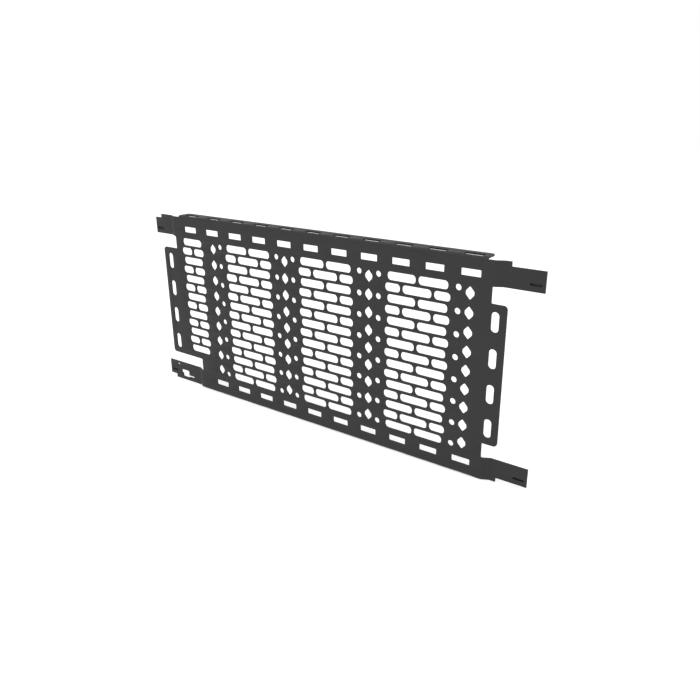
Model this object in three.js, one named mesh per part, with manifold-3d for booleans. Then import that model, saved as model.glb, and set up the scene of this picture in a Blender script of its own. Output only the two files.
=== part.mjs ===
// Headache rack: a pressed and laser-cut steel panel with lashing slots, and a clamp
// on the end of each of its four arms.
// Millimetres. X runs across the vehicle, +Y points away from the front face, +Z is up.
// The pieces are drawn with the front face at Y = 0, and the finished rack is moved so that
// its origin is at the middle of its underside.
import * as THREE from 'three';
import { mergeVertices } from 'three/addons/utils/BufferGeometryUtils.js';
import Module from 'manifold-3d';

const wasm = await Module();
wasm.setup();

// ---- Driving dimensions ----
const PITCH = 108;              // distance between neighbouring accessory slots
const COLUMNS = 11;             // accessory slots in a full row
const GRID_SHIFT = -3.3;        // middle slot column, from the middle of the rack
const SHEET = 4.8;              // sheet thickness
const HEIGHT = 645;             // over both flanges
const ROW_LOW = 44;             // height of the lower slot row
const ROW_SPAN = 554;           // between the upper and lower slot rows
const REACH = 735;              // from the middle of the rack to an arm's tip

const ROW_TOP = ROW_LOW + ROW_SPAN;
const MID_Z = (ROW_LOW + ROW_TOP) / 2;
const OVERCUT = 1;              // how far a cutting solid runs past what it cuts

// Front face and wings
const FACE_LEFT = -621.8;
const FACE_RIGHT = 598.7;
const WING_LEFT = -691.3;
const WING_RIGHT = 644.7;
const WING_HALF = 203;          // half the height of a wing
const WING_CORNER = 11;
const INNER_CORNER = 5;

// The notch above the lower left arm
const NOTCH_EDGE = -537.1;

// Flanges
const FLANGE_DEPTH = 50;
const BEND_OUTER = 9.6;
const BEND_STEPS = 4;
const CORNER_STEPS = 3;
const FLANGE_LEFT = -599.3;
const FLANGE_RIGHT = 582.7;
const FLANGE_LEFT_LOW = -541.3;  // the lower flange stops at the notch
const FLANGE_CORNER = 14;
const RELIEF = 1.6;              // gap cut beside each end of a bend

// Arms, measured from their slot row towards the nearer flange
const ARM_INNER = -28.5;
const ARM_OUTER = 40.9;
const TONGUE_OUTER = 28;
const SHOULDER_LEFT = -704.8;   // where an arm steps down to its tongue
const SHOULDER_RIGHT = 642.7;
const JOGGLE_DEPTH = 11;        // an arm lies this far behind the front face
const JOGGLE_RUN = 25;
const JOGGLE_RIGHT = 601.7;     // where each arm starts to bend back
const JOGGLE_LEFT = -627.3;
const JOGGLE_LEFT_LOW = -542.9;
const ARM_FILLET = 6;
const ARM_BAND = 79;            // height of the strip whose ends are bent back into arms

// Holes
const SLOT_LENGTH = 58;
const SLOT_WIDTH = 19.6;
const FLANGE_SLOT_DEPTH = 17.6; // from the front face to the middle of a flange slot
const BRICK_HEIGHT = 25.3;
const BRICK_LONG = 94;
const BRICK_SHORT = 51;
const BRICK_LONG_X = 50.7;      // from the middle of a field to its long bricks
const BRICK_SHORT_X = 79.8;
const BRICK_ROWS = 15;
const BRICK_PITCH = 0.06 * ROW_SPAN;
const NARROW_ROWS = 13;         // rows in the narrow field on the left
const NARROW_SHORT_X = 29;
const NARROW_SHIFT = 4.2;       // narrow field, from the first slot column
const DIAMOND_WIDTH = 26.6;
const DIAMOND_HEIGHT = 36.4;
const DIAMOND_TIP = 0.15;       // half width of a diamond's blunt tip, over its half width
const DIAMOND_SIDE = 0.18;      // half height of its upright side, over its half height
const DIAMOND_ROWS = 9;
const DIAMOND_PITCH = 0.1 * ROW_SPAN;
const ROUND_DIAMETER = 18;
const ROUND_ROWS = 8;
const ROUND_PITCH = 0.12 * ROW_SPAN;
const ROUND_OFFSET = 34;        // from a rib's middle to its round holes
const WING_SLOT_LENGTH = 56.5;
const WING_SLOT_WIDTH = 22.8;
const WING_SLOT_PITCH = 102.8;
const WING_SLOT_LEFT = -659.6;
const WING_SLOT_RIGHT = 612.8;
const WING_SLOTS = 4;
const FULL_FIELDS = [2.5, 5.5, 8.5];  // slot columns that the full brick fields are centred on

// The stepped cable opening and the spare hole in the lower left arm
const CABLE_SLOTS = [
  { from: -674, to: -632.3, rise: -9, height: 15 },
  { from: -667.3, to: -632.3, rise: -22, height: 15 },
  { from: -640, to: -605.3, rise: -22.5, height: 6.4 },
];
const SPARE_HOLE = { x: -689.8, rise: 16.5, radius: 5 };

// The narrow slot near each arm's tip
const TIP_SLOT_INSET = 24.5;    // from the tip to the slot's middle
const TIP_SLOT_LENGTH = 33;
const TIP_SLOT_HEIGHT = 7;
const TIP_SLOT_DROP = 9.6;      // below the slot row

// Clamps: M8 studs on the back of each arm, a plate, washers and nuts
const STUD_INSET = [14, 34];    // from an arm's tip
const STUD_DROP = 0.5;          // below the slot row
const STUD_RADIUS = 4;
const STUD_LENGTH = 20;
const STUD_CHAMFER = 1;
const STUD_HOLE = 4.6;          // radius of the holes that slide on a stud
const CLAMP_WIDTH = 42;
const CLAMP_HEIGHT = 27;
const CLAMP_DROP = 4.5;         // middle of the plate, below the slot row
const CLAMP_INSET = 2.5;
const CLAMP_THICKNESS = 4.8;
const CLAMP_CORNER = 4;
const WASHER_OUTER = 8.4;
const WASHER_THICKNESS = 1.6;
const NUT_ACROSS_FLATS = 13;
const NUT_HEIGHT = 6.8;
const ROUND_SIDES = 12;         // facets round a stud, its hole and its washer
const GAP = 0.3;                // left between faces that touch

const UPPER_COLUMNS = Array.from({ length: COLUMNS }, (_, i) => i);
const LOWER_COLUMNS = UPPER_COLUMNS.slice(1);   // the notch takes the place of the first slot
const ARM_FRONT = JOGGLE_DEPTH;
const ARM_BACK = JOGGLE_DEPTH + SHEET;

// ---- Materials ----
const powderCoat = new THREE.MeshStandardMaterial({ color: 0x2b2c2e, roughness: 0.62, metalness: 0.15 });
const blackZinc = new THREE.MeshStandardMaterial({ color: 0x1d1e20, roughness: 0.42, metalness: 0.7 });

// ---- Solids ----
function toSolid(geometry) {
  const bare = geometry.clone();
  bare.deleteAttribute('normal');
  bare.deleteAttribute('uv');
  const merged = mergeVertices(bare, 1e-4);
  return new wasm.Manifold(new wasm.Mesh({
    numProp: 3,
    vertProperties: new Float32Array(merged.attributes.position.array),
    triVerts: new Uint32Array(merged.index.array),
  }));
}

function toGeometry(solid) {
  const mesh = solid.getMesh();
  const geometry = new THREE.BufferGeometry();
  geometry.setAttribute('position', new THREE.BufferAttribute(mesh.vertProperties, 3));
  geometry.setIndex(new THREE.BufferAttribute(mesh.triVerts, 1));
  geometry.computeVertexNormals();
  return geometry;
}

// Extrudes a shape drawn as (X, Z) from y = from to y = to.
function extrudeAlongY(shape, from, to) {
  const options = { depth: to - from, bevelEnabled: false, curveSegments: CORNER_STEPS };
  const geometry = new THREE.ExtrudeGeometry(shape, options);
  geometry.rotateX(Math.PI / 2);
  geometry.translate(0, to, 0);
  return geometry;
}

// Extrudes a shape drawn as (X, Y) from z = from to z = to.
function extrudeAlongZ(shape, from, to) {
  const options = { depth: to - from, bevelEnabled: false, curveSegments: CORNER_STEPS };
  const geometry = new THREE.ExtrudeGeometry(shape, options);
  geometry.translate(0, 0, from);
  return geometry;
}

// Extrudes a profile drawn as (Y, Z) from x = from to x = to.
function extrudeAlongX(shape, from, to) {
  const options = { depth: to - from, bevelEnabled: false };
  const geometry = new THREE.ExtrudeGeometry(shape, options);
  geometry.rotateX(Math.PI / 2);
  geometry.rotateZ(Math.PI / 2);
  geometry.translate(from, 0, 0);
  return geometry;
}

function polygon(points) {
  return new THREE.Shape(points.map(([a, b]) => new THREE.Vector2(a, b)));
}

// ---- Holes in the front face ----
// Each returns a closed ring of points round (x, z).
function ring(x, z, offsets) {
  return offsets.map(([a, b]) => new THREE.Vector2(x + a, z + b));
}

function roundedSlot(x, z, length, width, upright = false) {
  const radius = width / 2;
  const straight = length / 2 - radius;
  const offsets = [];
  for (const side of [1, -1]) {
    for (let i = 0; i <= CORNER_STEPS; i += 1) {
      const angle = Math.PI * (i / CORNER_STEPS - 0.5);
      offsets.push([side * (straight + radius * Math.cos(angle)), side * radius * Math.sin(angle)]);
    }
  }
  return ring(x, z, upright ? offsets.map(([a, b]) => [-b, a]) : offsets);
}

function squareSlot(x, z, length, width) {
  const [a, b] = [length / 2, width / 2];
  return ring(x, z, [[-a, -b], [a, -b], [a, b], [-a, b]]);
}

function roundHole(x, z, radius, sides = 8) {
  const offsets = [];
  for (let i = 0; i < sides; i += 1) {
    const angle = 2 * Math.PI * (i + 0.5) / sides;
    offsets.push([radius * Math.cos(angle), radius * Math.sin(angle)]);
  }
  return ring(x, z, offsets);
}

function diamond(x, z) {
  const [a, b] = [DIAMOND_WIDTH / 2, DIAMOND_HEIGHT / 2];
  const [blunt, lift] = [DIAMOND_TIP * a, DIAMOND_SIDE * b];
  return ring(x, z, [
    [blunt, -b], [a, -lift], [a, lift], [blunt, b],
    [-blunt, b], [-a, lift], [-a, -lift], [-blunt, -b],
  ]);
}

function columnX(column) {
  return GRID_SHIFT + (column - (COLUMNS - 1) / 2) * PITCH;
}

// Heights of a centred stack of rows, from the top one down.
function rowHeights(rows, pitch) {
  return Array.from({ length: rows }, (_, i) => MID_Z + ((rows - 1) / 2 - i) * pitch);
}

function brickField(x) {
  return rowHeights(BRICK_ROWS, BRICK_PITCH).flatMap((z, row) => {
    if (row % 2 === 0) {
      return [-BRICK_LONG_X, BRICK_LONG_X].map((dx) => roundedSlot(x + dx, z, BRICK_LONG, BRICK_HEIGHT));
    }
    return [
      roundedSlot(x, z, BRICK_LONG, BRICK_HEIGHT),
      ...[-BRICK_SHORT_X, BRICK_SHORT_X].map((dx) => roundedSlot(x + dx, z, BRICK_SHORT, BRICK_HEIGHT)),
    ];
  });
}

function narrowField(x) {
  const heights = rowHeights(BRICK_ROWS, BRICK_PITCH).slice(0, NARROW_ROWS);
  return heights.flatMap((z, row) => {
    if (row % 2 === 0) {
      return [roundedSlot(x, z, BRICK_LONG, BRICK_HEIGHT)];
    }
    return [-NARROW_SHORT_X, NARROW_SHORT_X].map((dx) => roundedSlot(x + dx, z, BRICK_SHORT, BRICK_HEIGHT));
  });
}

// A rib carries a line of diamonds, with round holes on the sides that face a full brick field.
function ribHoles(column, sides) {
  const x = columnX(column);
  const diamonds = rowHeights(DIAMOND_ROWS, DIAMOND_PITCH).map((z) => diamond(x, z));
  const rounds = rowHeights(ROUND_ROWS, ROUND_PITCH).flatMap((z) => (
    sides.map((side) => roundHole(x + side * ROUND_OFFSET, z, ROUND_DIAMETER / 2))
  ));
  return [...diamonds, ...rounds];
}

function faceHoles() {
  return [
    ...UPPER_COLUMNS.map((i) => squareSlot(columnX(i), ROW_TOP, SLOT_LENGTH, SLOT_WIDTH)),
    ...LOWER_COLUMNS.map((i) => squareSlot(columnX(i), ROW_LOW, SLOT_LENGTH, SLOT_WIDTH)),
    ...FULL_FIELDS.flatMap((i) => brickField(columnX(i))),
    ...narrowField(columnX(0) + NARROW_SHIFT),
    ...ribHoles(1, [1]),
    ...ribHoles(4, [-1, 1]),
    ...ribHoles(7, [-1, 1]),
    ...ribHoles(10, [-1]),
    ...rowHeights(WING_SLOTS, WING_SLOT_PITCH).flatMap((z) => [WING_SLOT_LEFT, WING_SLOT_RIGHT].map((x) => (
      roundedSlot(x, z, WING_SLOT_LENGTH, WING_SLOT_WIDTH, true)
    ))),
  ];
}

// ---- Front outline of the sheet, as (X, Z) ----
// The face stops where the bends start; the flanges carry on from there.
function frontOutline() {
  const bendTop = HEIGHT - BEND_OUTER;
  const bendLow = BEND_OUTER;
  const up = (offset) => ROW_TOP + offset;
  const low = (offset) => ROW_LOW - offset;
  const wingTop = MID_Z + WING_HALF;
  const wingLow = MID_Z - WING_HALF;
  const reliefFloor = bendTop - RELIEF;
  const reliefRoof = bendLow + RELIEF;
  const s = new THREE.Shape();
  // Right side, from the lower flange up
  s.moveTo(FLANGE_RIGHT, bendLow);
  s.lineTo(FLANGE_RIGHT, reliefRoof);
  s.lineTo(FLANGE_RIGHT + RELIEF, reliefRoof);
  s.lineTo(FLANGE_RIGHT + RELIEF, low(ARM_OUTER));
  s.lineTo(SHOULDER_RIGHT, low(ARM_OUTER));
  s.lineTo(SHOULDER_RIGHT, low(TONGUE_OUTER));
  s.lineTo(REACH, low(TONGUE_OUTER));
  s.lineTo(REACH, low(ARM_INNER));
  s.lineTo(FACE_RIGHT + INNER_CORNER, low(ARM_INNER));
  s.quadraticCurveTo(FACE_RIGHT, low(ARM_INNER), FACE_RIGHT, low(ARM_INNER) + INNER_CORNER);
  s.lineTo(FACE_RIGHT, wingLow);
  s.lineTo(WING_RIGHT - WING_CORNER, wingLow);
  s.quadraticCurveTo(WING_RIGHT, wingLow, WING_RIGHT, wingLow + WING_CORNER);
  s.lineTo(WING_RIGHT, wingTop - WING_CORNER);
  s.quadraticCurveTo(WING_RIGHT, wingTop, WING_RIGHT - WING_CORNER, wingTop);
  s.lineTo(FACE_RIGHT, wingTop);
  s.lineTo(FACE_RIGHT, up(ARM_INNER) - INNER_CORNER);
  s.quadraticCurveTo(FACE_RIGHT, up(ARM_INNER), FACE_RIGHT + INNER_CORNER, up(ARM_INNER));
  s.lineTo(REACH, up(ARM_INNER));
  s.lineTo(REACH, up(TONGUE_OUTER));
  s.lineTo(SHOULDER_RIGHT, up(TONGUE_OUTER));
  s.lineTo(SHOULDER_RIGHT, up(ARM_OUTER));
  s.lineTo(FLANGE_RIGHT + RELIEF, up(ARM_OUTER));
  s.lineTo(FLANGE_RIGHT + RELIEF, reliefFloor);
  s.lineTo(FLANGE_RIGHT, reliefFloor);
  s.lineTo(FLANGE_RIGHT, bendTop);
  // Left side, from the upper flange down
  s.lineTo(FLANGE_LEFT, bendTop);
  s.lineTo(FLANGE_LEFT, reliefFloor);
  s.lineTo(FLANGE_LEFT - RELIEF, reliefFloor);
  s.lineTo(FLANGE_LEFT - RELIEF, up(ARM_OUTER));
  s.lineTo(SHOULDER_LEFT, up(ARM_OUTER));
  s.lineTo(SHOULDER_LEFT, up(TONGUE_OUTER));
  s.lineTo(-REACH, up(TONGUE_OUTER));
  s.lineTo(-REACH, up(ARM_INNER));
  s.lineTo(FACE_LEFT - ARM_FILLET, up(ARM_INNER));
  s.quadraticCurveTo(FACE_LEFT, up(ARM_INNER), FACE_LEFT, up(ARM_INNER) - ARM_FILLET);
  s.lineTo(FACE_LEFT, wingTop);
  s.lineTo(WING_LEFT + WING_CORNER, wingTop);
  s.quadraticCurveTo(WING_LEFT, wingTop, WING_LEFT, wingTop - WING_CORNER);
  s.lineTo(WING_LEFT, wingLow + WING_CORNER);
  s.quadraticCurveTo(WING_LEFT, wingLow, WING_LEFT + WING_CORNER, wingLow);
  s.lineTo(NOTCH_EDGE - INNER_CORNER, wingLow);
  s.quadraticCurveTo(NOTCH_EDGE, wingLow, NOTCH_EDGE, wingLow - INNER_CORNER);
  s.lineTo(NOTCH_EDGE, low(ARM_INNER) + INNER_CORNER);
  s.quadraticCurveTo(NOTCH_EDGE, low(ARM_INNER), NOTCH_EDGE - INNER_CORNER, low(ARM_INNER));
  s.lineTo(-REACH, low(ARM_INNER));
  s.lineTo(-REACH, low(TONGUE_OUTER));
  s.lineTo(SHOULDER_LEFT, low(TONGUE_OUTER));
  s.lineTo(SHOULDER_LEFT, low(ARM_OUTER));
  s.lineTo(FLANGE_LEFT_LOW - RELIEF, low(ARM_OUTER));
  s.lineTo(FLANGE_LEFT_LOW - RELIEF, reliefRoof);
  s.lineTo(FLANGE_LEFT_LOW, reliefRoof);
  s.lineTo(FLANGE_LEFT_LOW, bendLow);
  s.closePath();
  return s;
}

// The sheet seen from above at the height of the arms: flat, then joggled back at each end.
function joggledSheet(leftStart) {
  const rightEnd = JOGGLE_RIGHT + JOGGLE_RUN;
  const leftEnd = leftStart - JOGGLE_RUN;
  const edge = REACH + OVERCUT;
  const front = [
    [-edge, ARM_FRONT], [leftEnd, ARM_FRONT], [leftStart, 0],
    [JOGGLE_RIGHT, 0], [rightEnd, ARM_FRONT], [edge, ARM_FRONT],
  ];
  const back = front.map(([x, y]) => [x, y + SHEET]).reverse();
  return polygon([...front, ...back]);
}

// ---- Flanges ----
// Both flanges are drawn by their distance in from the edge of the rack; toZ turns that
// distance into a height.
function bendArc(radius) {
  return Array.from({ length: BEND_STEPS + 1 }, (_, i) => {
    const angle = Math.PI / 2 * i / BEND_STEPS;
    return [BEND_OUTER - radius * Math.cos(angle), BEND_OUTER - radius * Math.sin(angle)];
  });
}

function flangeProfile(toZ) {
  const root = BEND_OUTER + RELIEF;
  return polygon([
    [0, root], [SHEET, root], ...bendArc(BEND_OUTER - SHEET),
    [FLANGE_DEPTH, SHEET], [FLANGE_DEPTH, 0], ...bendArc(BEND_OUTER).reverse(),
  ].map(([y, inset]) => [y, toZ(inset)]));
}

function flange(left, right, columns, toZ) {
  const plan = new THREE.Shape();
  plan.moveTo(left, -OVERCUT);
  plan.lineTo(right, -OVERCUT);
  plan.lineTo(right, FLANGE_DEPTH - FLANGE_CORNER);
  plan.quadraticCurveTo(right, FLANGE_DEPTH, right - FLANGE_CORNER, FLANGE_DEPTH);
  plan.lineTo(left + FLANGE_CORNER, FLANGE_DEPTH);
  plan.quadraticCurveTo(left, FLANGE_DEPTH, left, FLANGE_DEPTH - FLANGE_CORNER);
  plan.closePath();
  const slots = columns.map((column) => (
    new THREE.Shape(squareSlot(columnX(column), FLANGE_SLOT_DEPTH, SLOT_LENGTH, SLOT_WIDTH))
  ));
  const outside = toZ(-OVERCUT);
  const inside = toZ(2 * BEND_OUTER);
  const [from, to] = [Math.min(outside, inside), Math.max(outside, inside)];
  return toSolid(extrudeAlongX(flangeProfile(toZ), left, right))
    .intersect(toSolid(extrudeAlongZ(plan, from, to)))
    .subtract(toSolid(extrudeAlongZ(slots, from - OVERCUT, to + OVERCUT)));
}

// The front sheet with its four arms, before the holes in the arms are cut.
function frontSheet() {
  const holes = faceHoles().map((points) => new THREE.Shape(points));
  const cut = toSolid(extrudeAlongY(frontOutline(), -OVERCUT, ARM_BACK + OVERCUT))
    .subtract(toSolid(extrudeAlongY(holes, -2 * OVERCUT, ARM_BACK + 2 * OVERCUT)));
  const upperBand = toSolid(extrudeAlongZ(joggledSheet(JOGGLE_LEFT), HEIGHT - ARM_BAND, HEIGHT));
  const lowerBand = toSolid(extrudeAlongZ(joggledSheet(JOGGLE_LEFT_LOW), 0, ARM_BAND));
  const flat = polygon([[-REACH, 0], [REACH, 0], [REACH, SHEET], [-REACH, SHEET]]);
  const middleBand = toSolid(extrudeAlongZ(flat, ARM_BAND, HEIGHT - ARM_BAND));
  return upperBand.add(middleBand).add(lowerBand).intersect(cut);
}

function armHoles() {
  const cable = CABLE_SLOTS.map(({ from, to, rise, height }) => (
    roundedSlot((from + to) / 2, ROW_LOW + rise, to - from, height)
  ));
  const spare = roundHole(SPARE_HOLE.x, ROW_LOW + SPARE_HOLE.rise, SPARE_HOLE.radius);
  const tips = clampSites().map(({ side, rowZ }) => {
    const x = side * (REACH - TIP_SLOT_INSET);
    return roundedSlot(x, rowZ - TIP_SLOT_DROP, TIP_SLOT_LENGTH, TIP_SLOT_HEIGHT);
  });
  return [...cable, spare, ...tips];
}

function mainPanel() {
  const topFlange = flange(FLANGE_LEFT, FLANGE_RIGHT, UPPER_COLUMNS, (inset) => HEIGHT - inset);
  const bottomFlange = flange(FLANGE_LEFT_LOW, FLANGE_RIGHT, LOWER_COLUMNS, (inset) => inset);
  let panel = frontSheet().add(topFlange).add(bottomFlange);
  armHoles().forEach((points) => {
    const drill = extrudeAlongY(new THREE.Shape(points), ARM_FRONT - OVERCUT, ARM_BACK + OVERCUT);
    panel = panel.subtract(toSolid(drill));
  });
  return toGeometry(panel);
}

// ---- Clamps ----
function clampSites() {
  return [
    { name: 'upper_left', side: -1, rowZ: ROW_TOP },
    { name: 'upper_right', side: 1, rowZ: ROW_TOP },
    { name: 'lower_left', side: -1, rowZ: ROW_LOW },
    { name: 'lower_right', side: 1, rowZ: ROW_LOW },
  ].map((site) => ({ ...site, studX: STUD_INSET.map((inset) => site.side * (REACH - inset)) }));
}

// A flat plate that the nuts press towards the back of the arm.
function clampPlate({ side, rowZ, studX }) {
  const middle = side * (REACH - CLAMP_INSET - CLAMP_WIDTH / 2);
  const [a, b, c] = [CLAMP_WIDTH / 2, CLAMP_HEIGHT / 2, CLAMP_CORNER];
  const outline = new THREE.Shape(ring(middle, rowZ - CLAMP_DROP, [
    [-a + c, -b], [a - c, -b], [a, -b + c], [a, b - c],
    [a - c, b], [-a + c, b], [-a, b - c], [-a, -b + c],
  ]));
  studX.forEach((x) => {
    outline.holes.push(new THREE.Path(roundHole(x, rowZ - STUD_DROP, STUD_HOLE, ROUND_SIDES)));
  });
  const front = ARM_BACK + GAP;
  return extrudeAlongY(outline, front, front + CLAMP_THICKNESS);
}

function hexagon(x, z, acrossFlats) {
  return roundHole(x, z, acrossFlats / 2 / Math.cos(Math.PI / 6), 6);
}

// Threaded stud, welded by its flat end to the back of the arm.
function stud(x, z) {
  const base = ARM_BACK + GAP;
  const tip = base + STUD_LENGTH;
  const profile = [
    [0, base], [STUD_RADIUS, base], [STUD_RADIUS, tip - STUD_CHAMFER],
    [STUD_RADIUS - STUD_CHAMFER, tip], [0, tip],
  ].map(([radius, y]) => new THREE.Vector2(radius, y));
  const geometry = toGeometry(toSolid(new THREE.LatheGeometry(profile, ROUND_SIDES)));
  geometry.translate(x, 0, z);
  return geometry;
}

function washer(x, z, front) {
  const outline = new THREE.Shape(roundHole(x, z, WASHER_OUTER, ROUND_SIDES));
  outline.holes.push(new THREE.Path(roundHole(x, z, STUD_HOLE, ROUND_SIDES)));
  return extrudeAlongY(outline, front, front + WASHER_THICKNESS);
}

function nut(x, z, front) {
  const outline = new THREE.Shape(hexagon(x, z, NUT_ACROSS_FLATS));
  outline.holes.push(new THREE.Path(roundHole(x, z, STUD_HOLE, ROUND_SIDES)));
  return extrudeAlongY(outline, front, front + NUT_HEIGHT);
}

// ---- Assembly ----
const rack = new THREE.Group();

function addPiece(name, geometry, material) {
  const mesh = new THREE.Mesh(geometry, material);
  mesh.name = name;
  rack.add(mesh);
}

addPiece('main_panel', mainPanel(), powderCoat);
clampSites().forEach((site) => {
  addPiece(`clamp_plate_${site.name}`, clampPlate(site), powderCoat);
  const washerFront = ARM_BACK + CLAMP_THICKNESS + 2 * GAP;
  const nutFront = washerFront + WASHER_THICKNESS + GAP;
  const z = site.rowZ - STUD_DROP;
  site.studX.forEach((x, i) => {
    const place = `${site.name}_${i === 0 ? 'outer' : 'inner'}`;
    addPiece(`clamp_stud_${place}`, stud(x, z), blackZinc);
    addPiece(`washer_${place}`, washer(x, z, washerFront), blackZinc);
    addPiece(`nut_${place}`, nut(x, z, nutFront), blackZinc);
  });
});

rack.position.y = -FLANGE_DEPTH / 2;

export default rack;
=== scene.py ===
import math

import bmesh
import bpy
from mathutils import Matrix, Vector


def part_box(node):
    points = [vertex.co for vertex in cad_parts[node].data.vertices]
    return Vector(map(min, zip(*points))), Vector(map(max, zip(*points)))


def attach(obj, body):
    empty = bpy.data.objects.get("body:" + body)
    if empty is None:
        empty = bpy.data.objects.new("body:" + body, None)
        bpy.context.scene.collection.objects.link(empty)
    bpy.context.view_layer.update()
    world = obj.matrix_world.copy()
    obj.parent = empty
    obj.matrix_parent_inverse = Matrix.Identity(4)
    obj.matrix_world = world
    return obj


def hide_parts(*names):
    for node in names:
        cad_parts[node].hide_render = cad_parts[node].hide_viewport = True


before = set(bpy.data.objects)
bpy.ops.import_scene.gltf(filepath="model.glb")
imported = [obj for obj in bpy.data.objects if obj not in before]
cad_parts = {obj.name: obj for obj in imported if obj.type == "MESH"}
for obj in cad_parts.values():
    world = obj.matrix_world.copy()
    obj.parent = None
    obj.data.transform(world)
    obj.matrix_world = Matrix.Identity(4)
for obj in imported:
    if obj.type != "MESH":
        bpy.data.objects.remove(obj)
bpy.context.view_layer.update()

# ---- Sizes, in metres. The front face is at the lowest Y of the rack. ----
panel_low, panel_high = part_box("main_panel")
FRONT = panel_low.y
HEIGHT = panel_high.z
REACH = panel_high.x
FLANGE_DEPTH = panel_high.y - panel_low.y
SHEET = 0.0048
EDGE = 0.0006                   # rounding of the cut edges under the coating

PITCH = 0.108
COLUMNS = 11
GRID_SHIFT = -0.0033
ROW_LOW = 0.044
ROW_SPAN = 0.554
ROW_TOP = ROW_LOW + ROW_SPAN
MID_Z = (ROW_LOW + ROW_TOP) / 2

FACE_LEFT, FACE_RIGHT = -0.6218, 0.5987
WING_LEFT, WING_RIGHT = -0.6913, 0.6447
WING_HALF = 0.203
WING_CORNER = 0.011
INNER_CORNER = 0.003
SMALL_CORNER = 0.0007
NOTCH_EDGE = -0.5371

BEND_OUTER = 0.0096
BEND_STEPS = 8
BEND_MARGIN = 0.001             # the sheet is also divided this far outside each bend
FLANGE_LEFT, FLANGE_RIGHT = -0.5993, 0.5827
FLANGE_LEFT_LOW = -0.5413
FLANGE_CORNER = 0.014
FLANGE_SLOT_DEPTH = 0.0176
RELIEF = 0.0016

ARM_INNER, ARM_OUTER, TONGUE_OUTER = -0.0285, 0.0409, 0.028
ARM_BAND = 0.079                # height of the strip whose ends are bent back into arms
ARM_FILLET = 0.006
SHOULDER_LEFT, SHOULDER_RIGHT = -0.7048, 0.6427
JOGGLE_DEPTH = 0.011
JOGGLE_RUN = 0.025
JOGGLE_ROUNDING = 0.004         # length of the bend at each end of a joggle
JOGGLE_RIGHT, JOGGLE_LEFT, JOGGLE_LEFT_LOW = 0.6017, -0.6273, -0.5429

SLOT_LENGTH, SLOT_WIDTH, SLOT_CORNER = 0.058, 0.0196, 0.002
BRICK_HEIGHT, BRICK_LONG, BRICK_SHORT, BRICK_CORNER = 0.0253, 0.094, 0.051, 0.0112
BRICK_LONG_X, BRICK_SHORT_X, NARROW_SHORT_X, NARROW_SHIFT = 0.0507, 0.0798, 0.029, 0.0042
BRICK_ROWS, NARROW_ROWS = 15, 13
BRICK_PITCH = 0.06 * ROW_SPAN
DIAMOND_WIDTH, DIAMOND_HEIGHT = 0.0266, 0.0364
DIAMOND_ROWS, DIAMOND_PITCH = 9, 0.1 * ROW_SPAN
ROUND_DIAMETER, ROUND_OFFSET = 0.018, 0.034
ROUND_ROWS, ROUND_PITCH = 8, 0.12 * ROW_SPAN
WING_SLOT_LENGTH, WING_SLOT_WIDTH, WING_SLOT_PITCH = 0.0565, 0.0228, 0.1028
WING_SLOT_LEFT, WING_SLOT_RIGHT = -0.6596, 0.6128
WING_SLOTS = 4
ROUND_END = 0.48                # corner radius over the width of a slot with round ends
CABLE_LEFT, CABLE_STEP, CABLE_RIGHT, CABLE_END = -0.674, -0.6673, -0.6323, -0.6053
CABLE_TOP, CABLE_SHELF, CABLE_FLOOR = -0.0015, -0.0165, -0.0295   # over the slot row
CABLE_NECK = (-0.0257, -0.0193)          # heights of the narrow end, over the slot row
SPARE_HOLE = (-0.6898, 0.0165, 0.005)    # place, height over the slot row, and radius
TIP_SLOT_INSET, TIP_SLOT_DROP = 0.0245, 0.0096   # from an arm's tip, and below the slot row
TIP_SLOT_LENGTH, TIP_SLOT_HEIGHT = 0.033, 0.007
FULL_FIELDS = (2.5, 5.5, 8.5)    # slot columns that the full brick fields are centred on

SITES = ("upper_left", "upper_right", "lower_left", "lower_right")
ENDS = ("outer", "inner")

THREAD_PITCH = 0.00125
THREAD_DEPTH = 0.0006
STEPS_PER_TURN = 6
NUT_ACROSS_FLATS = 0.013
CHAMFER_SHARE = 0.95            # how much of a nut's corner its chamfer takes
CHAMFER_SLOPE = 0.58            # depth of the chamfer over its width: 30 degrees
NUT_LEAD, NUT_MOUTH = 0.0008, 0.0004   # depth and extra radius of the mouth of a nut's bore
CLAMP_CORNER = 0.004
STUD_HOLE = 0.0046              # radius of the holes that slide on a stud


# ---- Flat shapes, as rings of (x, z) ----
def rounded(corners, steps=6):
    """A closed ring through (x, z, radius) corners, with each corner rounded."""
    ring = []
    for i, (x, z, radius) in enumerate(corners):
        here = Vector((x, z))
        before = (Vector(corners[i - 1][:2]) - here).normalized()
        after = (Vector(corners[(i + 1) % len(corners)][:2]) - here).normalized()
        if radius == 0:
            ring.append(here)
            continue
        half = before.angle(after) / 2
        centre = here + (before + after).normalized() * radius / math.sin(half)
        start = here + before * radius / math.tan(half) - centre
        end = here + after * radius / math.tan(half) - centre
        turn = math.atan2(start.x * end.y - start.y * end.x, start.dot(end))
        for k in range(steps + 1):
            ring.append(centre + Matrix.Rotation(turn * k / steps, 2) @ start)
    return ring


def slot(x, z, width, height, radius, steps=6):
    a, b = width / 2, height / 2
    return rounded([(x - a, z - b, radius), (x + a, z - b, radius),
                    (x + a, z + b, radius), (x - a, z + b, radius)], steps)


def circle(x, z, radius, sides=28):
    turns = [2 * math.pi * i / sides for i in range(sides)]
    return [Vector((x + radius * math.cos(t), z + radius * math.sin(t))) for t in turns]


def diamond(x, z):
    """A long hexagon with rounded corners, standing on its tip."""
    a, b = DIAMOND_WIDTH / 2, DIAMOND_HEIGHT / 2
    tip, side, lift = 0.003, 0.007, 0.0047
    end = b + 0.4 * tip         # the rounding takes about this much off
    return rounded([(x - a, z - lift, side), (x, z - end, tip), (x + a, z - lift, side),
                    (x + a, z + lift, side), (x, z + end, tip), (x - a, z + lift, side)], 5)


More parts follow.
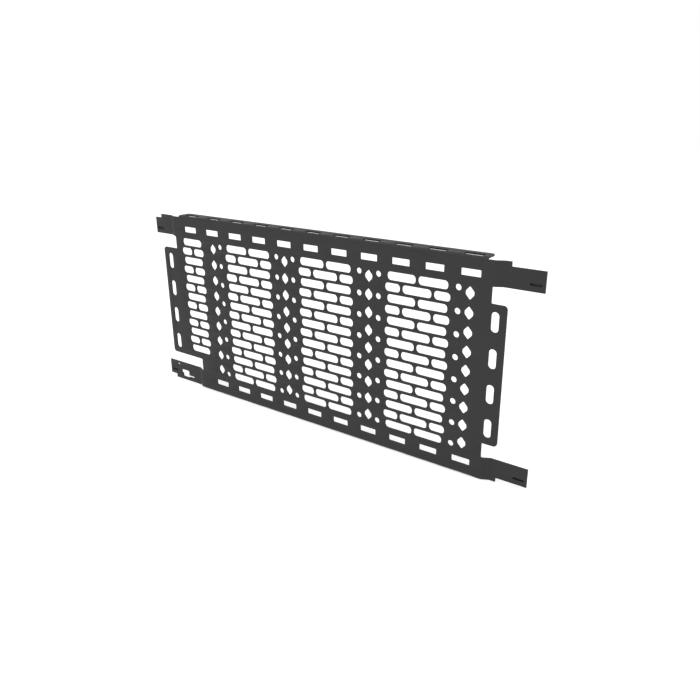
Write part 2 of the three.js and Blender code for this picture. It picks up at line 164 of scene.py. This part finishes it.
def column_x(column):
    return GRID_SHIFT + (column - (COLUMNS - 1) / 2) * PITCH


def row_heights(rows, pitch):
    return [MID_Z + ((rows - 1) / 2 - i) * pitch for i in range(rows)]


def brick(x, z, length):
    return slot(x, z, length, BRICK_HEIGHT, BRICK_CORNER, 8)


def brick_field(x):
    holes = []
    for row, z in enumerate(row_heights(BRICK_ROWS, BRICK_PITCH)):
        if row % 2 == 0:
            holes += [brick(x + side * BRICK_LONG_X, z, BRICK_LONG) for side in (-1, 1)]
        else:
            holes.append(brick(x, z, BRICK_LONG))
            holes += [brick(x + side * BRICK_SHORT_X, z, BRICK_SHORT) for side in (-1, 1)]
    return holes


def narrow_field(x):
    holes = []
    for row, z in enumerate(row_heights(BRICK_ROWS, BRICK_PITCH)[:NARROW_ROWS]):
        if row % 2 == 0:
            holes.append(brick(x, z, BRICK_LONG))
        else:
            holes += [brick(x + side * NARROW_SHORT_X, z, BRICK_SHORT) for side in (-1, 1)]
    return holes


def rib_holes(column, sides):
    x = column_x(column)
    holes = [diamond(x, z) for z in row_heights(DIAMOND_ROWS, DIAMOND_PITCH)]
    for z in row_heights(ROUND_ROWS, ROUND_PITCH):
        holes += [circle(x + side * ROUND_OFFSET, z, ROUND_DIAMETER / 2) for side in sides]
    return holes


def accessory_slot(x, z):
    return slot(x, z, SLOT_LENGTH, SLOT_WIDTH, SLOT_CORNER, 3)


def face_holes():
    holes = [accessory_slot(column_x(i), ROW_TOP) for i in range(COLUMNS)]
    holes += [accessory_slot(column_x(i), ROW_LOW) for i in range(1, COLUMNS)]
    for column in FULL_FIELDS:
        holes += brick_field(column_x(column))
    holes += narrow_field(column_x(0) + NARROW_SHIFT)
    holes += rib_holes(1, [1]) + rib_holes(4, [-1, 1]) + rib_holes(7, [-1, 1]) + rib_holes(10, [-1])
    for z in row_heights(WING_SLOTS, WING_SLOT_PITCH):
        for x in (WING_SLOT_LEFT, WING_SLOT_RIGHT):
            holes.append(slot(x, z, WING_SLOT_WIDTH, WING_SLOT_LENGTH, WING_SLOT_WIDTH * ROUND_END, 8))
    return holes


# ---- The blank that the panel is bent from ----
BEND_MID = BEND_OUTER - SHEET / 2
BEND_LENGTH = BEND_MID * math.pi / 2
FLANGE_BLANK = BEND_LENGTH + FLANGE_DEPTH - BEND_OUTER


def flange_slots():
    rise = BEND_LENGTH + FLANGE_SLOT_DEPTH - BEND_OUTER
    places = [(column_x(i), HEIGHT - BEND_OUTER + rise) for i in range(COLUMNS)]
    places += [(column_x(i), BEND_OUTER - rise) for i in range(1, COLUMNS)]
    return [accessory_slot(x, z) for x, z in places]


def cable_opening():
    """Outline of the stepped opening in the lower left arm, with its narrow end."""
    corner, step, floor_corner, end = 0.005, 0.001, 0.0015, 0.0028
    return rounded([(x, ROW_LOW + rise, radius) for x, rise, radius in (
        (CABLE_LEFT, CABLE_SHELF, corner), (CABLE_STEP, CABLE_SHELF, step),
        (CABLE_STEP, CABLE_FLOOR, corner), (CABLE_RIGHT, CABLE_FLOOR, floor_corner),
        (CABLE_RIGHT, CABLE_NECK[0], step), (CABLE_END, CABLE_NECK[0], end),
        (CABLE_END, CABLE_NECK[1], end), (CABLE_RIGHT, CABLE_NECK[1], step),
        (CABLE_RIGHT, CABLE_TOP, corner), (CABLE_LEFT, CABLE_TOP, corner),
    )])


def tip_slot(side, row):
    x = side * (REACH - TIP_SLOT_INSET)
    radius = TIP_SLOT_HEIGHT * ROUND_END
    return slot(x, row - TIP_SLOT_DROP, TIP_SLOT_LENGTH, TIP_SLOT_HEIGHT, radius)


def arm_holes():
    holes = [cable_opening(), circle(SPARE_HOLE[0], ROW_LOW + SPARE_HOLE[1], SPARE_HOLE[2])]
    return holes + [tip_slot(side, row) for side in (-1, 1) for row in (ROW_LOW, ROW_TOP)]


def blank_outline():
    """The developed outline: right side going up, then left side going down."""
    c, wing, inner = SMALL_CORNER, WING_CORNER, INNER_CORNER
    bend_top, bend_low = HEIGHT - BEND_OUTER, BEND_OUTER
    wing_top, wing_low = MID_Z + WING_HALF, MID_Z - WING_HALF

    def right_half(sign, row, bend, wing_edge):
        """From the flange's free corner to the wing; sign is 1 at the top."""
        free = bend + sign * FLANGE_BLANK
        relief = bend - sign * RELIEF
        return [
            (FLANGE_RIGHT, free, FLANGE_CORNER), (FLANGE_RIGHT, relief, c),
            (FLANGE_RIGHT + RELIEF, relief, c), (FLANGE_RIGHT + RELIEF, row + sign * ARM_OUTER, c),
            (SHOULDER_RIGHT, row + sign * ARM_OUTER, c), (SHOULDER_RIGHT, row + sign * TONGUE_OUTER, c),
            (REACH, row + sign * TONGUE_OUTER, c), (REACH, row + sign * ARM_INNER, c),
            (FACE_RIGHT, row + sign * ARM_INNER, inner), (FACE_RIGHT, wing_edge, inner),
            (WING_RIGHT, wing_edge, wing),
        ]

    def left_tip(sign, row):
        return [
            (SHOULDER_LEFT, row + sign * ARM_OUTER, c), (SHOULDER_LEFT, row + sign * TONGUE_OUTER, c),
            (-REACH, row + sign * TONGUE_OUTER, c), (-REACH, row + sign * ARM_INNER, c),
        ]

    upper_left = [
        (FLANGE_LEFT, bend_top + FLANGE_BLANK, FLANGE_CORNER), (FLANGE_LEFT, bend_top - RELIEF, c),
        (FLANGE_LEFT - RELIEF, bend_top - RELIEF, c), (FLANGE_LEFT - RELIEF, ROW_TOP + ARM_OUTER, c),
        *left_tip(1, ROW_TOP),
        (FACE_LEFT, ROW_TOP + ARM_INNER, ARM_FILLET), (FACE_LEFT, wing_top, inner),
        (WING_LEFT, wing_top, wing),
    ]
    lower_left = [
        (WING_LEFT, wing_low, wing), (NOTCH_EDGE, wing_low, inner),
        (NOTCH_EDGE, ROW_LOW - ARM_INNER, inner),
        *reversed(left_tip(-1, ROW_LOW)),
        (FLANGE_LEFT_LOW - RELIEF, ROW_LOW - ARM_OUTER, c),
        (FLANGE_LEFT_LOW - RELIEF, bend_low + RELIEF, c), (FLANGE_LEFT_LOW, bend_low + RELIEF, c),
        (FLANGE_LEFT_LOW, bend_low - FLANGE_BLANK, FLANGE_CORNER),
    ]
    return rounded([
        *right_half(-1, ROW_LOW, bend_low, wing_low),
        *reversed(right_half(1, ROW_TOP, bend_top, wing_top)),
        *upper_left,
        *lower_left,
    ])


def flat_sheet(name, rings, thickness):
    """A bmesh of a cut sheet in its own plane, with its thickness along Z about 0."""
    curve = bpy.data.curves.new(name, "CURVE")
    curve.dimensions = "2D"
    curve.fill_mode = "BOTH"
    curve.extrude = thickness / 2 - EDGE
    curve.bevel_depth = EDGE
    curve.bevel_resolution = 1
    curve.offset = -EDGE
    for ring in rings:
        spline = curve.splines.new("POLY")
        spline.points.add(len(ring) - 1)
        for point, (x, z) in zip(spline.points, ring):
            point.co = (x, z, 0, 1)
        spline.use_cyclic_u = True
    holder = bpy.data.objects.new(name, curve)
    bpy.context.scene.collection.objects.link(holder)
    depsgraph = bpy.context.evaluated_depsgraph_get()
    flat = bpy.data.meshes.new_from_object(holder.evaluated_get(depsgraph))
    solid = bmesh.new()
    solid.from_mesh(flat)
    bpy.data.objects.remove(holder)
    bpy.data.curves.remove(curve)
    bpy.data.meshes.remove(flat)
    bmesh.ops.remove_doubles(solid, verts=solid.verts, dist=1e-6)
    return solid


def cut_lines(solid, axis, places):
    """Edges across the sheet, so that it can bend there."""
    normal = Vector((1, 0, 0)) if axis == 0 else Vector((0, 1, 0))
    for place in places:
        everything = solid.verts[:] + solid.edges[:] + solid.faces[:]
        bmesh.ops.bisect_plane(solid, geom=everything, dist=1e-7, plane_co=normal * place, plane_no=normal)


def bend_rise(distance, depth):
    """Where a point of the sheet goes, past the start of a flange's bend."""
    radius = BEND_OUTER - depth
    if distance < BEND_LENGTH:
        turn = distance / BEND_MID
        return BEND_OUTER - radius * math.cos(turn), radius * math.sin(turn)
    return BEND_OUTER + distance - BEND_LENGTH, radius


def joggle(distance):
    """How far back the sheet lies, past the start of an arm's joggle."""
    r, run = JOGGLE_ROUNDING, JOGGLE_RUN
    slope = JOGGLE_DEPTH / (run - r)
    if distance <= 0:
        return 0.0
    if distance < r:
        return slope * distance * distance / (2 * r)
    if distance < run - r:
        return slope * (distance - r / 2)
    if distance < run:
        left = run - distance
        return JOGGLE_DEPTH - slope * left * left / (2 * r)
    return JOGGLE_DEPTH


def bent(x, z, depth):
    """The place on the finished panel of a point of the blank; depth is from its front."""
    past = max(z - (HEIGHT - BEND_OUTER), BEND_OUTER - z)
    low = z < MID_Z
    left = FLANGE_LEFT_LOW if low else FLANGE_LEFT
    if past > 0 and left - RELIEF / 2 < x < FLANGE_RIGHT + RELIEF / 2:
        y, rise = bend_rise(past, depth)
        return Vector((x, FRONT + y, BEND_OUTER - rise if low else HEIGHT - BEND_OUTER + rise))
    y = depth
    if z < ARM_BAND or z > HEIGHT - ARM_BAND:
        start = JOGGLE_LEFT_LOW if low else JOGGLE_LEFT
        y += joggle(x - JOGGLE_RIGHT) + joggle(start - x)
    return Vector((x, FRONT + y, z))


def make_object(name, solid, sharp_degrees=24):
    bmesh.ops.recalc_face_normals(solid, faces=solid.faces)
    mesh = bpy.data.meshes.new(name)
    solid.to_mesh(mesh)
    solid.free()
    mesh.shade_smooth()
    mesh.set_sharp_from_angle(angle=math.radians(sharp_degrees))
    piece = bpy.data.objects.new(name, mesh)
    bpy.context.scene.collection.objects.link(piece)
    return piece


def bend_lines():
    steps = [BEND_LENGTH * i / BEND_STEPS for i in range(BEND_STEPS + 1)]
    steps = [-BEND_MARGIN, *steps, BEND_LENGTH + BEND_MARGIN]
    return [HEIGHT - BEND_OUTER + s for s in steps] + [BEND_OUTER - s for s in steps]


def joggle_lines():
    rounding = [JOGGLE_ROUNDING * i / 4 for i in range(5)]
    middle = [JOGGLE_RUN - d for d in reversed(rounding)]
    steps = [-BEND_MARGIN, *rounding, *middle, JOGGLE_RUN + BEND_MARGIN]
    left = [start - d for start in (JOGGLE_LEFT, JOGGLE_LEFT_LOW) for d in steps]
    return [JOGGLE_RIGHT + d for d in steps] + left


def make_panel():
    rings = [blank_outline(), *face_holes(), *flange_slots(), *arm_holes()]
    solid = flat_sheet("panel_blank", rings, SHEET)
    cut_lines(solid, 1, bend_lines())
    cut_lines(solid, 0, joggle_lines())
    for v in solid.verts:
        v.co = bent(v.co.x, v.co.y, v.co.z + SHEET / 2)
    return make_object("panel_sheet", solid)


# ---- Fasteners and clamp plates ----
def turned(name, x, z, rings, sides=48, bore=None):
    """A solid about a line along Y. Each ring is (y, radius as a function of the angle)."""
    solid = bmesh.new()
    loops = []
    for y, radius in rings:
        loop = []
        for i in range(sides):
            angle = 2 * math.pi * i / sides
            r = radius(angle)
            loop.append(solid.verts.new((x + r * math.cos(angle), y, z + r * math.sin(angle))))
        loops.append(loop)
    if bore:
        loops.append(loops[0])
    for a, b in zip(loops, loops[1:]):
        for i in range(sides):
            j = (i + 1) % sides
            solid.faces.new((a[i], a[j], b[j], b[i]))
    if not bore:
        solid.faces.new(loops[0])
        solid.faces.new(reversed(loops[-1]))
    return solid


def plain(radius):
    return lambda angle: radius


def hexagon(across_flats, limit):
    """Radius of a hexagon, cut to a circle of radius limit at its chamfer."""
    def radius(angle):
        away = (angle + math.pi / 6) % (math.pi / 3) - math.pi / 6
        return min(across_flats / 2 / math.cos(away), limit)
    return radius


def hex_rings(start, end, across_flats):
    """Rings of a hexagonal prism from y = start to y = end, chamfered at both ends."""
    corner = across_flats / math.sqrt(3)
    inset = (corner - across_flats / 2) * CHAMFER_SHARE
    depth = inset * CHAMFER_SLOPE
    return [
        (start, hexagon(across_flats, corner - inset)),
        (start + depth / 2, hexagon(across_flats, corner - inset / 2)),
        (start + depth, hexagon(across_flats, corner)),
        (end - depth, hexagon(across_flats, corner)),
        (end - depth / 2, hexagon(across_flats, corner - inset / 2)),
        (end, hexagon(across_flats, corner - inset)),
    ]


def thread(radius, y):
    """Radius round a screw thread at depth y, as a function of the angle."""
    def at(angle):
        phase = (y / THREAD_PITCH - angle / (2 * math.pi)) % 1
        return radius - THREAD_DEPTH * abs(2 * phase - 1)
    return at


def make_stud(node):
    """Threaded stud, with a plain collar where it is welded to the arm."""
    low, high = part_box(node)
    x, z = (low.x + high.x) / 2, (low.z + high.z) / 2
    radius, collar, run_out, tip = (high.x - low.x) / 2, 0.0015, 0.0004, 0.001
    rings = [(low.y, plain(radius)), (low.y + collar, plain(radius))]
    start, end = low.y + collar + run_out, high.y - tip
    steps = int((end - start) / THREAD_PITCH * STEPS_PER_TURN)
    for i in range(steps + 1):
        y = start + (end - start) * i / steps
        rings.append((y, thread(radius, y)))
    rings.append((high.y, plain(radius - tip)))
    return make_object("stud_" + node[len("clamp_stud_"):], turned(node, x, z, rings), 35)


def make_washer(node):
    low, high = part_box(node)
    x, z = (low.x + high.x) / 2, (low.z + high.z) / 2
    rim, hole, ease = (high.x - low.x) / 2, STUD_HOLE, 0.0003
    rings = [
        (low.y, plain(hole)), (low.y, plain(rim - ease)), (low.y + ease, plain(rim)),
        (high.y - ease, plain(rim)), (high.y, plain(rim - ease)), (high.y, plain(hole)),
    ]
    return make_object("flat_" + node, turned(node, x, z, rings, 36, bore=True), 35)


def make_nut(node):
    low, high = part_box(node)
    x, z = (low.x + high.x) / 2, (low.z + high.z) / 2
    mouth = plain(STUD_HOLE + NUT_MOUTH)
    rings = [(low.y + NUT_LEAD, plain(STUD_HOLE)), (low.y, mouth)]
    rings += hex_rings(low.y, high.y, NUT_ACROSS_FLATS)
    rings += [(high.y, mouth), (high.y - NUT_LEAD, plain(STUD_HOLE))]
    return make_object("hex_" + node, turned(node, x, z, rings, 48, bore=True), 35)


def make_clamp_plate(node):
    low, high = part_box(node)
    x, z = (low.x + high.x) / 2, (low.z + high.z) / 2
    site = node[len("clamp_plate_"):]
    rings = [slot(x, z, high.x - low.x, high.z - low.z, CLAMP_CORNER)]
    for end in ENDS:
        a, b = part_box(f"clamp_stud_{site}_{end}")
        rings.append(circle((a.x + b.x) / 2, (a.z + b.z) / 2, STUD_HOLE))
    solid = flat_sheet(node, rings, high.y - low.y)
    for v in solid.verts:
        v.co = Vector((v.co.x, (low.y + high.y) / 2 + v.co.z, v.co.y))
    return make_object("plate_" + site, solid)


# ---- Materials ----
def node_material(name):
    material = bpy.data.materials.new(name)
    material.use_nodes = True
    tree = material.node_tree
    return material, tree, tree.nodes["Principled BSDF"]


def noise(tree, scale, detail=4.0):
    place = tree.nodes.new("ShaderNodeTexCoord")
    texture = tree.nodes.new("ShaderNodeTexNoise")
    texture.inputs["Scale"].default_value = scale
    texture.inputs["Detail"].default_value = detail
    tree.links.new(place.outputs["Object"], texture.inputs["Vector"])
    return texture.outputs["Fac"]


def ramp(tree, source, stops):
    """Colour stops (position, colour) driven by a value."""
    node = tree.nodes.new("ShaderNodeValToRGB")
    for i, (position, colour) in enumerate(stops):
        element = node.color_ramp.elements[i]
        element.position = position
        element.color = (*colour, 1)
    tree.links.new(source, node.inputs["Fac"])
    return node.outputs["Color"]


def spread(tree, source, low, high):
    node = tree.nodes.new("ShaderNodeMapRange")
    node.inputs["To Min"].default_value = low
    node.inputs["To Max"].default_value = high
    tree.links.new(source, node.inputs["Value"])
    return node.outputs["Result"]


def mix_colour(tree, factor, a, b):
    """Two colours mixed by a number or by a node's output."""
    node = tree.nodes.new("ShaderNodeMix")
    node.data_type = "RGBA"
    if isinstance(factor, float):
        node.inputs[0].default_value = factor
    else:
        tree.links.new(factor, node.inputs[0])
    tree.links.new(a, node.inputs[6])
    tree.links.new(b, node.inputs[7])
    return node.outputs[2]


def edge_mask(tree, radius, start, end):
    """1 on the rounded edges of a piece, 0 on its flats."""
    geometry = tree.nodes.new("ShaderNodeNewGeometry")
    soft = tree.nodes.new("ShaderNodeBevel")
    soft.samples = 4
    soft.inputs["Radius"].default_value = radius
    dot = tree.nodes.new("ShaderNodeVectorMath")
    dot.operation = "DOT_PRODUCT"
    tree.links.new(soft.outputs["Normal"], dot.inputs[0])
    tree.links.new(geometry.outputs["Normal"], dot.inputs[1])
    node = tree.nodes.new("ShaderNodeMapRange")
    node.inputs["From Min"].default_value = start
    node.inputs["From Max"].default_value = end
    tree.links.new(dot.outputs["Value"], node.inputs["Value"])
    return node.outputs["Result"]


def bump(tree, shader, layers):
    """Stacked bumps, each (height source, strength, distance)."""
    below = None
    for source, strength, distance in layers:
        node = tree.nodes.new("ShaderNodeBump")
        node.inputs["Strength"].default_value = strength
        node.inputs["Distance"].default_value = distance
        tree.links.new(source, node.inputs["Height"])
        if below:
            tree.links.new(below, node.inputs["Normal"])
        below = node.outputs["Normal"]
    tree.links.new(below, shader.inputs["Normal"])


def powder_coat():
    """Satin black powder coat with a fine orange-peel grain, cloudy gloss and rubbed edges."""
    material, tree, shader = node_material("powder_coat_black")
    clouds = noise(tree, 9.0, 3.0)
    grain = noise(tree, 1500.0, 3.0)
    peel = noise(tree, 420.0, 2.0)
    base = ramp(tree, clouds, [(0.3, (0.0170, 0.0172, 0.0180)), (0.7, (0.0235, 0.0238, 0.0246))])
    specks = ramp(tree, grain, [(0.4, (0.0165, 0.0167, 0.0173)), (0.62, (0.030, 0.0304, 0.0315))])
    rubbed = ramp(tree, grain, [(0.3, (0.028, 0.028, 0.029)), (0.7, (0.046, 0.046, 0.047))])
    colour = mix_colour(tree, 0.45, base, specks)
    colour = mix_colour(tree, edge_mask(tree, 0.0012, 0.995, 0.90), colour, rubbed)
    tree.links.new(colour, shader.inputs["Base Color"])
    tree.links.new(spread(tree, clouds, 0.50, 0.64), shader.inputs["Roughness"])
    shader.inputs["Specular IOR Level"].default_value = 0.25
    bump(tree, shader, [(peel, 0.18, 0.0003), (grain, 0.28, 0.00012)])
    return material


def black_zinc():
    """Black zinc plating: a little glossier than the coating, with rubbed edges on the nuts."""
    material, tree, shader = node_material("black_zinc_plating")
    stains = noise(tree, 160.0, 4.0)
    scratches = noise(tree, 2600.0, 2.0)
    base = ramp(tree, stains, [(0.35, (0.045, 0.045, 0.047)), (0.7, (0.085, 0.085, 0.089))])
    rubbed = ramp(tree, scratches, [(0.3, (0.13, 0.13, 0.134)), (0.7, (0.22, 0.22, 0.226))])
    colour = mix_colour(tree, edge_mask(tree, 0.0005, 0.99, 0.85), base, rubbed)
    tree.links.new(colour, shader.inputs["Base Color"])
    tree.links.new(spread(tree, stains, 0.34, 0.50), shader.inputs["Roughness"])
    shader.inputs["Metallic"].default_value = 0.6
    bump(tree, shader, [(scratches, 0.2, 0.00008)])
    return material


def pale_floor():
    material, tree, shader = node_material("pale_floor")
    colour = ramp(tree, noise(tree, 3.0, 2.0), [(0.0, (0.70, 0.70, 0.70)), (1.0, (0.73, 0.73, 0.73))])
    tree.links.new(colour, shader.inputs["Base Color"])
    shader.inputs["Roughness"].default_value = 0.9
    shader.inputs["Specular IOR Level"].default_value = 0.1
    shader.inputs["Emission Color"].default_value = (1, 1, 1, 1)
    shader.inputs["Emission Strength"].default_value = 0.47
    return material


# ---- Assembly ----
COAT = powder_coat()
ZINC = black_zinc()


def place(piece, node, body, slot_name, material):
    piece.data.materials.append(material)
    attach(piece, body)
    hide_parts(node)


place(make_panel(), "main_panel", "panel", "powder_coat", COAT)
for site in SITES:
    plate = f"clamp_plate_{site}"
    place(make_clamp_plate(plate), plate, f"clamp_{site}", "powder_coat", COAT)
    for end in ENDS:
        stud, washer, nut = f"clamp_stud_{site}_{end}", f"washer_{site}_{end}", f"nut_{site}_{end}"
        place(make_stud(stud), stud, "panel", "black_zinc", ZINC)
        place(make_washer(washer), washer, f"clamp_{site}", "black_zinc", ZINC)
        place(make_nut(nut), nut, f"clamp_{site}", "black_zinc", ZINC)

# ---- Floor, light and camera ----
FLOOR_SIZE = 30.0
FLOOR_Z = -0.0005
floor_mesh = bpy.data.meshes.new("floor")
half_floor = FLOOR_SIZE / 2
corners = ((-1, -1), (1, -1), (1, 1), (-1, 1))
floor_mesh.from_pydata([(a * half_floor, b * half_floor, FLOOR_Z) for a, b in corners],
                       [], [(0, 1, 2, 3)])
floor = bpy.data.objects.new("floor", floor_mesh)
bpy.context.scene.collection.objects.link(floor)
floor_mesh.materials.append(pale_floor())

world = bpy.data.worlds.new("studio")
world.use_nodes = True
world.node_tree.nodes["Background"].inputs["Color"].default_value = (1.0, 1.0, 1.0, 1)
world.node_tree.nodes["Background"].inputs["Strength"].default_value = 1.0
bpy.context.scene.world = world
bpy.context.scene.view_settings.view_transform = "Standard"


def soft_light(name, power, size, place_at, aim):
    data = bpy.data.lights.new(name, "AREA")
    data.energy = power
    data.size = size
    light = bpy.data.objects.new(name, data)
    light.location = place_at
    light.rotation_euler = (Vector(aim) - Vector(place_at)).to_track_quat("-Z", "Y").to_euler()
    bpy.context.scene.collection.objects.link(light)


soft_light("key", 33.0, 1.6, (0.5, -1.1, 3.2), (0, 0, 0.3))

CAMERA_PLACE = (1.2932, -1.5986, 1.0220)
AZIMUTH, ELEVATION, ROLL = math.radians(36.106), math.radians(20.356), math.radians(0.311)
camera_data = bpy.data.cameras.new("camera")
camera_data.sensor_width = 36.0
camera_data.lens = 34.69
camera = bpy.data.objects.new("camera", camera_data)
camera.location = CAMERA_PLACE
turn = Matrix.Rotation(AZIMUTH, 4, "Z") @ Matrix.Rotation(math.pi / 2 - ELEVATION, 4, "X")
camera.rotation_euler = (turn @ Matrix.Rotation(-ROLL, 4, "Z")).to_euler()
bpy.context.scene.collection.objects.link(camera)
bpy.context.scene.camera = camera
